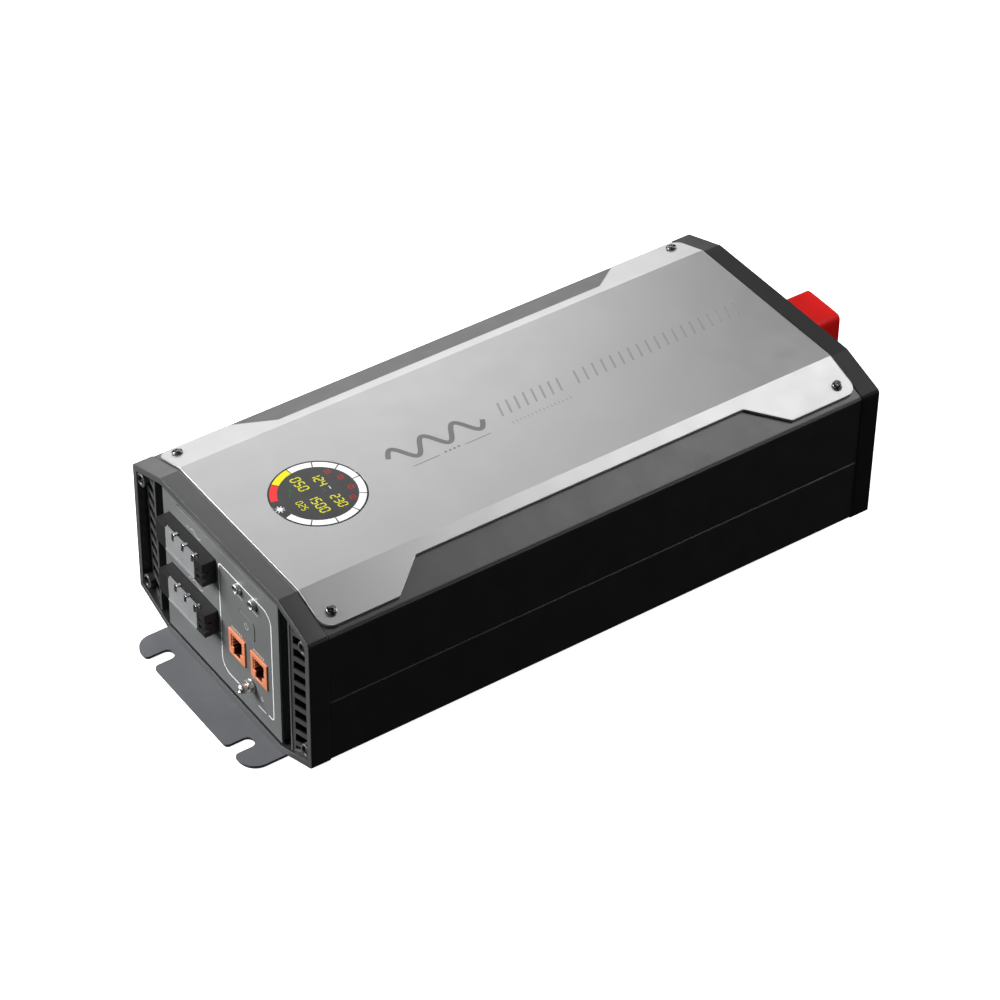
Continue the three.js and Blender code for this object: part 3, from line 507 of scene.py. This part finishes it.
def make_display():
    centre = middle_of("display_window")
    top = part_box("display_window")[1].z / MM
    place = top_place(centre.x, centre.y, top)
    low, high = -0.05, 0.06
    colors = {
        "white": (0.84, 0.85, 0.84), "red": (0.72, 0.03, 0.03), "yellow": (0.78, 0.68, 0.012),
        "digits": (0.62, 0.6, 0.03), "icons": (0.42, 0.02, 0.02), "green": (0.02, 0.11, 0.04),
    }
    looks = {
        key: paint(f"display_{key}", color, 0.35, specular=0.2, tone=0.03, glow=0.08)
        for key, color in colors.items()
    }
    marks = {key: bmesh.new() for key in colors}

    step = 360 / DISPLAY["sectors"]
    inner, outer = DISPLAY["ring"]
    for k in range(DISPLAY["sectors"]):
        start = DISPLAY["start"] - k * step
        end = start - step
        middle = (start + end) / 2
        if abs((middle + 90 + 180) % 360 - 180) < 1:
            continue  # the lowest sector is left open for the sun
        key = SECTOR_COLORS.get(k, "white")
        gap = math.degrees(DISPLAY["divider"] / 2 / inner)
        ring = arc(0, 0, outer, end + gap, start - gap, 12) + arc(0, 0, inner, start - gap, end + gap, 12)
        add_prism(marks[key], ring, place, low, high)

    sun = -(inner + outer) / 2
    add_prism(marks["white"], arc(0, sun, 1.75, 0, 337.5, 15), place, low, high)
    for k in range(8):
        a = math.radians(45 * k)
        points = [(r * math.cos(a), sun + r * math.sin(a)) for r in (2.0, 3.1)]
        add_ribbon(marks["white"], points, 0.5, place, low, high)

    digits = marks["digits"]
    seven_segment(digits, "124", -10.6, 7.2, 5.6, place, low, high)
    seven_segment(digits, "230", 12.4, 7.0, 5.6, place, low, high)
    seven_segment(digits, "050", -13.2, -4.8, 6.0, place, low, high)
    seven_segment(digits, "1500", 8.2, -4.8, 6.0, place, low, high)
    seven_segment(digits, "025", 4.5, -14.2, 4.0, place, low, high)

    for x, y in ((-13.8, 15.5), (-5.2, 19.4), (5.8, 19.8), (14.4, 15.4)):
        frame_mark = rounded(box_points(x - 1.8, y - 1.5, x + 1.8, y + 1.5), [0.6] * 4, 3)
        add_ribbon(marks["icons"], frame_mark, 0.5, place, low, high, closed=True)
        add_ribbon(marks["icons"], [(x - 0.8, y - 0.5), (x + 0.8, y + 0.5)], 0.55, place, low, high)
    add_ribbon(marks["white"], [(-2.2, 8.9), (0.6, 8.9)], 0.5, place, low, high)
    add_ribbon(marks["green"], [(-2.2, 4.8), (1.6, 4.8)], 0.8, place, low, high)
    wave = [(-12.6 + 0.3 * i, -14.2 + 1.7 * math.sin(2 * math.pi * i / 24)) for i in range(25)]
    add_ribbon(marks["green"], wave, 0.7, place, low, high)
    for key, bm in marks.items():
        finish_piece(f"display_marks_{key}", bm, CHASSIS, looks[key])


# ---------------------------------------------------------------- printed marks
OUTLINE = {"left": -1.5, "right": 57.0, "bottom": 20.3, "top": 105.0, "width": 0.95}


def make_panel_marks():
    """The white outline round the controls, and plain symbols by the fittings."""
    white = paint("printed_white", (0.83, 0.84, 0.84), 0.5, tone=0.04, tone_scale=80)
    faint = paint("printed_light_grey", (0.42, 0.43, 0.43), 0.5, tone=0.05, tone_scale=80)
    place = front_place(0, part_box("front_panel")[0].y / MM, 0)
    low, high = -0.05, 0.07
    bm, soft = bmesh.new(), bmesh.new()
    ground = middle_of("ground_screw")
    left, right, bottom, top = (OUTLINE[k] for k in ("left", "right", "bottom", "top"))
    loop = (
        [(ground.x - 14, bottom)] + arc(left + 9, bottom + 9, 9, 270, 180)
        + arc(left + 3, top - 3, 3, 180, 90) + arc(right - 9, top - 9, 9, 90, 0)
        + arc(right - 3, bottom + 3, 3, 0, -90) + [(right - 6, bottom)]
    )
    add_ribbon(bm, loop, OUTLINE["width"], place, low, high)
    add_ribbon(bm, [(ground.x + 7, bottom - 0.6), (right - 9, bottom - 0.6)], 0.7, place, low, high)

    for level in LEVELS:
        block_low, block_high = (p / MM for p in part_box(f"ac_terminal_block_{level}"))
        x, z = (block_low.x + block_high.x) / 2 + 4, block_high.z + 3.6
        wave = [(x - 6 + 0.6 * i, z + 1.5 * math.sin(math.pi * i / 10)) for i in range(21)]
        add_ribbon(soft, wave, 0.7, place, low, high)
        add_ribbon(soft, [(x - 10, z), (x - 8, z)], 0.7, place, low, high)
    for side in SIDES:
        led = middle_of(f"status_led_{side}")
        for i in range(4):
            x = led.x - 1.5 + 1.7 * i
            add_prism(soft, box_points(x - 0.5, led.z - 7.3, x + 0.5, led.z - 6.3), place, low, high)
        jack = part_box(f"network_jack_{side}")
        x, z = (jack[0].x + jack[1].x) / 2 / MM, jack[1].z / MM + 1.2
        for i in range(6):
            at = x - 6.5 + 2.1 * i
            add_prism(soft, box_points(at, z, at + 1.3, z + 1.7), place, low, high)
    x, z = ground.x + 11.5, ground.z - 3
    add_ribbon(soft, [(x, z + 2.2), (x, z)], 0.55, place, low, high)
    for i in range(3):
        half = 2.1 - 0.7 * i
        add_ribbon(soft, [(x - half, z - i), (x + half, z - i)], 0.5, place, low, high)
    finish_piece("panel_marks", bm, CHASSIS, white)
    finish_piece("panel_symbols", soft, CHASSIS, faint)

    bm = bmesh.new()
    button = middle_of("power_button")
    place = front_place(button.x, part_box("power_button")[0].y / MM, button.z)
    add_ribbon(bm, arc(0, -0.3, 2.1, 125, 415, 18), 0.55, place, low, high)
    add_ribbon(bm, [(0, 0.4), (0, 2.6)], 0.55, place, low, high)
    finish_piece("button_symbol", bm, "power_button", faint)


def make_cover_marks():
    """A plain sine wave and rows of slanted bars, printed in grey along the cover."""
    dark = paint("printed_dark_grey", (0.2, 0.2, 0.203), 0.5, metal=0.5, tone=0.04, tone_scale=80)
    pale = paint("printed_pale_grey", (0.36, 0.36, 0.36), 0.5, metal=0.7, tone=0.04, tone_scale=80)
    place = top_place(0, 0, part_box("top_cover")[1].z / MM)
    low, high = -0.05, 0.04
    bm = bmesh.new()
    wave = [(-3 - 7 * math.sin(2 * math.pi * i / 32), -89 + 0.72 * i) for i in range(97)]
    add_ribbon(bm, wave, 3.4, place, low, high)
    add_ribbon(bm, [(11, -80), (11, -61)], 0.5, place, low, high)
    add_ribbon(bm, [(11, -42), (11, -23)], 0.5, place, low, high)
    for i in range(4):
        add_prism(bm, arc(10.4, -56 + 3.2 * i, 0.8, 0, 330, 11), place, low, high)
    finish_piece("cover_mark", bm, CHASSIS, dark)

    bm = bmesh.new()
    lean, thick = 4.0, 1.5
    for start, end, count in ((-8, 43, 8), (50, 182, 19)):
        pitch = (end - start) / count
        for i in range(count):
            y = start + pitch * i
            bar = [(1.5, y), (1.5, y + thick), (-11, y + thick + lean), (-11, y + lean)]
            add_prism(bm, bar, place, low, high)
    for i in range(16):
        y = -6 + 2.9 * i
        add_prism(bm, box_points(8.6, y, 11.2, y + 0.6), place, low, high)
    finish_piece("cover_bars", bm, CHASSIS, pale)


# ---------------------------------------------------------------- the cover's rim
# The cover's top outline: half widths at its ends and between them, where one runs into the other, half its
# length, and the fold past which it slopes down.
COVER = {"wide": 95.2, "narrow": 75.8, "step": (122.0, 146.0), "end": 198.1, "fold": 66.8, "slope": 0.3413}


def make_cover_edge(look):
    """The rounded rim of the pressed cover, all round its top outline."""
    radius, inward, proud = 0.42, 0.3, 0.06
    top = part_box("top_cover")[1].z / MM
    wide, narrow, end = COVER["wide"] - inward, COVER["narrow"] - inward, COVER["end"] - inward
    near, far = COVER["step"]
    quarter = [(COVER["fold"], -end, 0), (wide, -end, 8), (wide, -far, 3), (narrow, -near, 4)]
    right = quarter + [(x, -y, r) for x, y, r in quarter[::-1]]
    loop = right + [(-x, -y, r) for x, y, r in right]
    bm = bmesh.new()
    path = []
    for x, y in rounded([p[:2] for p in loop], [p[2] for p in loop]):
        drop = max(0.0, abs(x) - COVER["fold"]) * COVER["slope"]
        path.append(Vector((x, y, top - drop - radius + proud)) * MM)
    add_tube(bm, path, radius * MM, 12, closed=True)
    finish_piece("cover_rim", bm, CHASSIS, look, 80)


# ---------------------------------------------------------------- fasteners
def head_mesh(radius, height, arm, width, segments=32):
    """A domed screw head with a cross recess, made by cutting the recess out of the dome."""
    place = top_place(0, 0, 0)
    bm = bmesh.new()
    profile = [(0, -0.2), (radius, -0.2), (radius, height * 0.3)]
    profile += [
        (radius * math.cos(math.radians(a)), height * (0.3 + 0.7 * math.sin(math.radians(a))))
        for a in (15, 30, 45, 60, 75)
    ]
    profile += [(0, height)]
    add_turned(bm, profile, place, segments)
    bmesh.ops.recalc_face_normals(bm, faces=bm.faces)
    head = bpy.data.meshes.new("head")
    bm.to_mesh(head)
    bm.free()
    bm = bmesh.new()
    taper = 0.55
    for u, v in ((arm, width), (width, arm)):
        outline = box_points(-u, -v, u, v)
        low = [bm.verts.new(place(x * taper, y * taper, height * 0.25)) for x, y in outline]
        high = [bm.verts.new(place(x, y, height * 1.3)) for x, y in outline]
        bm.faces.new(low[::-1])
        bm.faces.new(high)
        for i in range(4):
            j = (i + 1) % 4
            bm.faces.new((low[i], low[j], high[j], high[i]))
    tool = bpy.data.meshes.new("tool")
    bm.to_mesh(tool)
    bm.free()
    dome, cross = bpy.data.objects.new("head", head), bpy.data.objects.new("tool", tool)
    for piece in (dome, cross):
        bpy.context.scene.collection.objects.link(piece)
    boolean = dome.modifiers.new("cut", "BOOLEAN")
    boolean.operation, boolean.solver, boolean.object = "DIFFERENCE", "EXACT", cross
    boolean.use_self = True
    bpy.context.view_layer.update()
    made = bpy.data.meshes.new_from_object(dome.evaluated_get(bpy.context.evaluated_depsgraph_get()))
    for piece in (dome, cross):
        bpy.data.objects.remove(piece)
    return made


def place_head(name, mesh, node, body, look, centre, normal, turn):
    """Puts a copy of a head mesh with its underside at centre, facing along normal."""
    copy = mesh.copy()
    spin = Matrix.Rotation(math.radians(turn), 4, "Z")
    face = Vector(normal).to_track_quat("Z", "Y").to_matrix().to_4x4()
    copy.transform(Matrix.Translation(Vector(centre) * MM) @ face @ spin)
    copy.shade_smooth()
    copy.set_sharp_from_angle(angle=math.radians(30))
    copy.materials.clear()
    copy.materials.append(look)
    piece = bpy.data.objects.new(name, copy)
    bpy.context.scene.collection.objects.link(piece)
    add_bevel(piece, 0.08, angle=40)
    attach(piece, body)
    if node:
        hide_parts(node)


def make_screws(looks):
    big = head_mesh(3.4, 1.7, 2.1, 0.5)
    small = head_mesh(2.45, 1.4, 1.5, 0.38, 24)
    pole = head_mesh(2.8, 1.7, 1.8, 0.45, 24)
    tilt = math.atan(COVER["slope"])
    outward, sink = 0.9, 2.2  # from the top of a cover screw's box to its seat on the slope
    bezel_height, pole_height = 1.4, 1.8
    for end in ("front", "rear"):
        for side in SIDES:
            sign = -1 if side == "left" else 1
            node = f"cover_screw_{end}_{side}"
            normal = Vector((sign * math.sin(tilt), 0, math.cos(tilt)))
            low, high = (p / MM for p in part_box(node))
            outer = Vector(((low.x + high.x) / 2, (low.y + high.y) / 2, high.z))
            centre = outer + Vector((sign * outward, 0, -sink))
            place_head(f"cover_head_{end}_{side}", big, node, CHASSIS,
                       looks["screw_steel"], centre, normal, random.uniform(0, 90))
            for level in LEVELS:
                node = f"bezel_screw_{end}_{level}_{side}"
                low, high = (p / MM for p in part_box(node))
                facing = -1 if end == "front" else 1
                seat = (low.y + bezel_height) if facing < 0 else (high.y - bezel_height)
                centre = Vector(((low.x + high.x) / 2, seat, (low.z + high.z) / 2))
                place_head(f"bezel_head_{end}_{level}_{side}", small, node, CHASSIS,
                           looks["screw_steel"], centre, (0, facing, 0), random.uniform(0, 90))
    for level in LEVELS:
        for i in (1, 2, 3):
            node = f"ac_terminal_screw_{level}_{i}"
            low, high = (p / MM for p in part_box(node))
            centre = Vector(((low.x + high.x) / 2, low.y + pole_height, (low.z + high.z) / 2))
            place_head(f"pole_head_{level}_{i}", pole, node, CHASSIS,
                       looks["bright_metal"], centre, (0, -1, 0), random.uniform(0, 90))


# ---------------------------------------------------------------- fittings on the front panel
def panel_face():
    """The y of the front panel's outer face, in millimetres."""
    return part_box("front_panel")[0].y / MM


def make_status_lights():
    """Each light is a satin holder with a rolled rim, and a dark lens sunk in it."""
    holder = paint("satin_nickel", (0.62, 0.62, 0.61), 0.42, metal=1.0, tone=0.06, tone_scale=500)
    lens = paint("smoked_lens", (0.012, 0.013, 0.012), 0.16, specular=0.5, tone=0.1)
    for side in SIDES:
        node = f"status_led_{side}"
        middle = middle_of(node)
        place = front_place(middle.x, panel_face(), middle.z)
        bm = bmesh.new()
        collar = [(0, -1.7), (4.5, -1.7), (4.5, -2.5), (3.6, -2.5), (3.6, 0)]
        barrel = [(3.35, 0.35), (3.3, 2.2)]
        rim = [(3.15, 2.7), (2.85, 2.95), (2.5, 2.9), (2.3, 2.6), (2.15, 1.6), (0, 1.6)]
        add_turned(bm, collar + barrel + rim, place)
        finish_piece(f"light_holder_{side}", bm, CHASSIS, holder, 40, (node,))
        bm = bmesh.new()
        dome = [(2.1 * math.cos(math.radians(a)), 1.7 + 0.75 * math.sin(math.radians(a)))
                for a in (0, 20, 40, 60, 75)]
        add_turned(bm, [(0, 1.65), (2.1, 1.65), *dome, (0, 2.45)], place, 24)
        finish_piece(f"light_lens_{side}", bm, CHASSIS, lens, 50)


def make_ground_screw(looks):
    """A domed screw with a dished middle, standing on a hexagon nut and its washer."""
    middle = middle_of("ground_nut")
    place = front_place(middle.x, panel_face(), middle.z)
    bm = bmesh.new()
    shank = [(0, -7), (2, -7), (2, 5.6)]
    dome = [(2.9, 5.6), (3.3, 5.95), (3.3, 6.9), (3.12, 7.8), (2.7, 8.6), (2.1, 9.15), (1.55, 9.35)]
    dish = [(1.3, 9.2), (1.1, 8.4), (0, 8.1)]
    add_turned(bm, shank + dome + dish, place, 40)
    finish_piece("ground_stud", bm, CHASSIS, looks["bright_metal"], 50, ("ground_screw",))
    bm = bmesh.new()
    bore, rim = 2.15, 4.8
    washer = [(bore, 0.3), (rim - 0.2, 0.3), (rim, 0.5), (rim, 0.95), (rim - 0.2, 1.15), (bore, 1.15)]
    add_turned(bm, washer + washer[:1], place, 40)
    hexagon = arc(0, 0, 4.35, 20, 320, 5)
    add_prism(bm, hexagon, place, 1.2, 3.4)
    finish_piece("ground_hexagon", bm, CHASSIS, looks["bright_metal"], 30, ("ground_nut",),
                 bevel=0.35)


def make_jack_insides(looks):
    """Painted shade in the network jacks, in darkened orange, with eight sprung contacts and small guide
    teeth.
    """
    # painted shade: a dark copy of the jacks' orange, laid over the walls and back of each mouth
    shade_sheet = paint("orange_painted_shade", (0.05, 0.013, 0.006), 0.6, specular=0.2, tone=0.15)
    gold = paint("contact_gold", (0.75, 0.5, 0.2), 0.3, metal=1.0, tone=0.08, tone_scale=300)
    half, low, high = 6.3, -3.3, 6.5  # the plug's mouth, and the latch channel under it
    latch, latch_low = 3.5, -7.9
    outline = [(-half, low), (-latch, low), (-latch, latch_low), (latch, latch_low), (latch, low),
               (half, low), (half, high), (-half, high)]
    spring = ((6.1, -0.8), (5.9, -1.6), (4.6, -4.0), (2.6, -8.0), (1.9, -11.8))
    contacts, pitch, teeth = 8, 1.27, 4
    for side in SIDES:
        middle = middle_of(f"network_jack_{side}")
        place = front_place(middle.x, panel_face(), middle.z)
        bm = bmesh.new()
        add_ribbon(bm, outline, 0.16, place, -12.3, 0.35, closed=True)
        add_prism(bm, outline, place, -12.35, -12.2)
        finish_piece(f"jack_shade_sheet_{side}", bm, CHASSIS, shade_sheet)
        bm = bmesh.new()
        for i in range(contacts):
            x = (i - (contacts - 1) / 2) * pitch
            add_tube(bm, [place(x, z, h) for z, h in spring], 0.26 * MM, 6)
        finish_piece(f"jack_contacts_{side}", bm, CHASSIS, gold)
        bm = bmesh.new()
        for sign in (-1, 1):
            for i in range(teeth):
                z = -2.6 + 2.3 * i
                add_prism(bm, box_points(sign * 5.7 - 0.5, z, sign * 5.7 + 0.5, z + 1.2), place, -3.0, 0.6)
        finish_piece(f"jack_teeth_{side}", bm, CHASSIS, looks["jack_orange"])


def make_pole_clips():
    """A bent bright clip that stands in each notch of the terminal lids."""
    metal = paint("satin_nickel_clip", (0.72, 0.72, 0.71), 0.25, metal=1.0, tone=0.06, tone_scale=500)
    hinge_pin, wall, notch = 1.5, 1.2, 9.0
    for level in LEVELS:
        low, high = (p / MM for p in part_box(f"ac_terminal_block_{level}"))
        lid_low, lid_high = (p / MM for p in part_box(f"ac_terminal_lid_{level}"))
        pitch = (lid_high.x - lid_low.x - 2 * hinge_pin + wall) / 3
        z = (low.z + high.z) / 2
        for i in range(3):
            x = lid_low.x + hinge_pin - 0.3 + pitch * i + notch
            place = front_place(x, low.y, z)
            front = -0.1
            bm = bmesh.new()
            add_prism(bm, box_points(-0.7, 4.2, 0.7, 9.3), place, -0.55, front)
            add_prism(bm, box_points(-0.7, 9.1, 1.4, 9.45), place, -3.3, front)
            add_prism(bm, box_points(0.9, 7.0, 1.4, 9.2), place, -0.5, front)
            finish_piece(f"pole_clip_{level}_{i + 1}", bm, CHASSIS, metal, bevel=0.12)


# ---------------------------------------------------------------- fans and battery caps
def make_fan_blades(looks):
    """A hub with seven swept, cambered blades for each fan."""
    blades, stations, chordwise = 7, 8, 6
    inner, outer, mid_height = 11.0, 27.0, 10.4
    chord, chord_loss = 13.5, 2.0  # at the hub, and how much less at the tip
    pitch_angle, untwist, swept = 44, 16, 26
    camber_height, half_thickness = 1.3, 0.55
    hub = [(0, 3.4), (11.2, 3.4), (11.4, 3.8), (11.4, 15.8), (11.1, 16.9), (10.3, 17.6), (9.4, 17.7),
           (9.2, 17.4), (0, 17.4)]
    for side in SIDES:
        low, high = (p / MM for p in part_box(f"fan_rotor_{side}"))
        x, z = (low.x + high.x) / 2, (low.z + high.z) / 2
        frame_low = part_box(f"fan_frame_{side}")[0].y / MM
        place = rear_place(x, frame_low, z)
        bm = bmesh.new()
        add_turned(bm, hub, place, 48)
        for k in range(blades):
            grid = {}
            for i in range(stations + 1):
                f = i / stations
                r = inner + (outer - inner) * f
                sweep = math.radians(360 * k / blades + swept * f)
                half = 0.5 * (chord - chord_loss * f)
                pitch = math.radians(pitch_angle - untwist * f)
                for j in range(chordwise + 1):
                    c = 2 * j / chordwise - 1
                    around = c * half * math.cos(pitch)
                    camber = camber_height * (1 - c * c)
                    height = mid_height + c * half * math.sin(pitch) + camber
                    thick = half_thickness * (1 - 0.6 * c * c)
                    angle = sweep + around / r
                    for face, offset in ((0, -thick), (1, thick)):
                        grid[i, j, face] = bm.verts.new(
                            place(r * math.cos(angle), r * math.sin(angle), height + offset))
            for i in range(stations):
                for j in range(chordwise):
                    for face in (0, 1):
                        bm.faces.new([grid[i, j, face], grid[i + 1, j, face], grid[i + 1, j + 1, face],
                                      grid[i, j + 1, face]])
                for j in (0, chordwise):
                    bm.faces.new([grid[i, j, 0], grid[i + 1, j, 0], grid[i + 1, j, 1], grid[i, j, 1]])
            for j in range(chordwise):
                for i in (0, stations):
                    bm.faces.new([grid[i, j, 0], grid[i, j + 1, 0], grid[i, j + 1, 1], grid[i, j, 1]])
        finish_piece(f"fan_impeller_{side}", bm, f"fan_{side}", looks["fan_black"], 45,
                     (f"fan_rotor_{side}",))


def ring_points(radius, count):
    """Points evenly spaced round a circle."""
    turns = (2 * math.pi * k / count for k in range(count))
    return [(radius * math.cos(t), radius * math.sin(t)) for t in turns]


def make_fan_guards(looks):
    """Wire rings on two crossed ties, whose ends are eyes held by screws."""
    wire, rings = 0.75, (7.5, 14.5, 21.5, 28.5)
    eye, reach, behind = 2.6, 35.3, -0.2  # the ties lie a little behind the rings
    for side in SIDES:
        middle = middle_of(f"fan_guard_{side}")
        place = rear_place(middle.x, middle.y, middle.z)
        bm = bmesh.new()
        for radius in rings:
            circle = [place(u, v, 0) for u, v in ring_points(radius, 56)]
            add_tube(bm, circle, wire * MM, 8, closed=True)
        for k in range(4):
            a = math.radians(45 + 90 * k)
            tie = [place(r * math.cos(a), r * math.sin(a), behind) for r in (6.8, 20, reach - eye)]
            add_tube(bm, tie, wire * MM, 8)
            cx, cz = reach * math.cos(a), reach * math.sin(a)
            loop = [place(cx + u, cz + v, behind) for u, v in ring_points(eye, 20)]
            add_tube(bm, loop, wire * MM, 8, closed=True)
        finish_piece(f"fan_wires_{side}", bm, CHASSIS, looks["guard_wire"], 60,
                     (f"fan_guard_{side}",))
        small = head_mesh(2.3, 1.2, 1.4, 0.36, 24)
        for k in range(4):
            a = math.radians(45 + 90 * k)
            across, up = reach * math.cos(a), reach * math.sin(a)
            centre = middle + Vector((across, behind, up))
            place_head(f"fan_screw_{side}_{k + 1}", small, None, CHASSIS,
                       looks["screw_steel"], centre, (0, 1, 0), random.uniform(0, 90))


def box_ring(half_width, half_height, power, count):
    """Points of a superellipse; a high power gives a box with rounded corners, and 2 an ellipse."""
    points = []
    for k in range(count):
        t = 2 * math.pi * (k + 0.5) / count
        u, v = math.cos(t), math.sin(t)
        scale = (abs(u) ** power + abs(v) ** power) ** (-1 / power)
        points.append((half_width * u * scale, half_height * v * scale))
    return points


def make_battery_caps(looks):
    """Rubber boots with rounded edges, a lip at the open end, and a hole for the cable."""
    wall, hole, count = 2.0, 7.5, 96
    corner, fold = 12, 2.0  # the outline's power, and the rounding at the far end
    edge = 0.15  # the step behind the lip
    for pole in ("positive", "negative"):
        node = f"battery_cap_{pole}"
        low, high = (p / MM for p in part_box(node))
        half_width, half_height, length = (high.x - low.x) / 2, (high.z - low.z) / 2, high.y - low.y
        place = rear_place((low.x + high.x) / 2, low.y, (low.z + high.z) / 2)
        rings = [(wall, corner, 0.1), (0.5, corner, 0), (0, corner, 0.4), (0, corner, 2.6),
                 (edge, corner, 3.0), (edge, corner, length - fold)]
        for a in (15, 35, 55, 75, 90):
            t = math.radians(a)
            rings.append((edge + fold * (1 - math.cos(t)), corner, length - fold + fold * math.sin(t)))
        shapes = [(box_ring(half_width - i, half_height - i, p, count), y) for i, p, y in rings]
        mouth = ((hole + 1.6, 0), (hole + 0.5, 0.15), (hole, 0.7), (hole, wall))
        shapes += [(box_ring(radius, radius, 2, count), length - depth) for radius, depth in mouth]
        for inset, depth in ((wall + 0.5, wall), (wall + 0.2, wall + 1)):
            shapes.append((box_ring(half_width - inset, half_height - inset, 9, count), length - depth))
        bm = bmesh.new()
        verts = [[bm.verts.new(place(u, v, y)) for u, v in points] for points, y in shapes]
        for i, ring in enumerate(verts):
            after = verts[(i + 1) % len(verts)]
            for k in range(count):
                m = (k + 1) % count
                bm.faces.new((ring[k], ring[m], after[m], after[k]))
        slot = "cap_red" if pole == "positive" else "cap_black"
        finish_piece(f"battery_boot_{pole}", bm, f"cap_{pole}", looks[slot], 40, (node,))


# ---------------------------------------------------------------- build
looks = make_materials()
dress_cad(looks)
make_display()
make_panel_marks()
make_cover_marks()
make_cover_edge(looks["cover_silver"])
make_screws(looks)
make_status_lights()
make_ground_screw(looks)
make_jack_insides(looks)
make_pole_clips()
make_fan_blades(looks)
make_fan_guards(looks)
make_battery_caps(looks)
make_camera()
make_stage()
